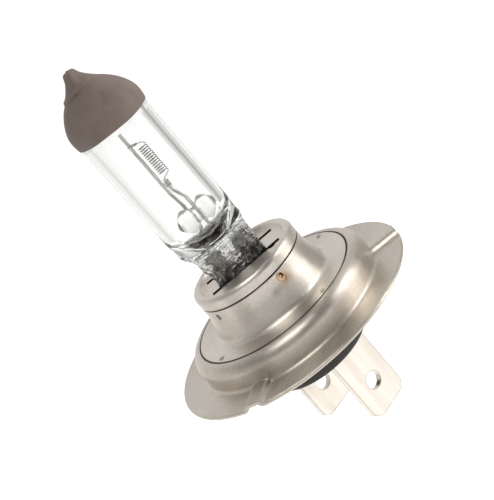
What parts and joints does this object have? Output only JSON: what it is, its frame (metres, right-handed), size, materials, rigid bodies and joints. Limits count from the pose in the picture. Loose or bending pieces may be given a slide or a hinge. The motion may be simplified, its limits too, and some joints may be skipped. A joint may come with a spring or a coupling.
{
  "type": "headlight bulb",
  "caption": "Halogen headlight bulb: clear quartz tube with a masked tip and lengthwise filament, on a round steel flange cap with push-on blade terminals.",
  "frame": {"origin": "on the lamp axis, in the plane of the mounting flange's top face", "axes": "+Z along the lamp axis towards the glass tip; the terminal blades' flat faces look along +Y and -Y; +X is across the blades' width"},
  "size_m": [0.034, 0.034, 0.0567],
  "materials": {
    "cap_metal": "satin",
    "collar_metal": "satin",
    "clip_metal": "satin",
    "quartz_glass": "polished",
    "antiglare_paint": "matte",
    "tungsten": "satin",
    "lead_metal": "satin",
    "clamp_metal": "satin",
    "bead_glass": "polished",
    "foil_metal": "satin",
    "outer_lead_metal": "satin",
    "insulator_plastic": "matte",
    "blade_metal": "satin",
    "nugget_metal": "satin",
    "weld_metal": "satin",
    "spot_metal": "satin"
  },
  "bodies": {
    "root": {"cap_shell": "cap_metal", "focus_collar": "collar_metal", "burner_clip": "clip_metal", "glass_envelope": "quartz_glass", "antiglare_coating": "antiglare_paint", "filament_coil": "tungsten", "long_lead_wire": "lead_metal", "short_lead_wire": "lead_metal", "front_filament_clamp": "clamp_metal", "rear_filament_clamp": "clamp_metal", "lead_bridge_bead": "bead_glass", "long_lead_foil": "foil_metal", "short_lead_foil": "foil_metal", "long_outer_lead": "outer_lead_metal", "short_outer_lead": "outer_lead_metal", "insulator": "insulator_plastic", "terminal_near": "blade_metal", "terminal_far": "blade_metal", "lead_weld_nuggets": "nugget_metal", "collar_weld_spots": "weld_metal", "disc_weld_spots": "spot_metal"}
  },
  "joints": []
}
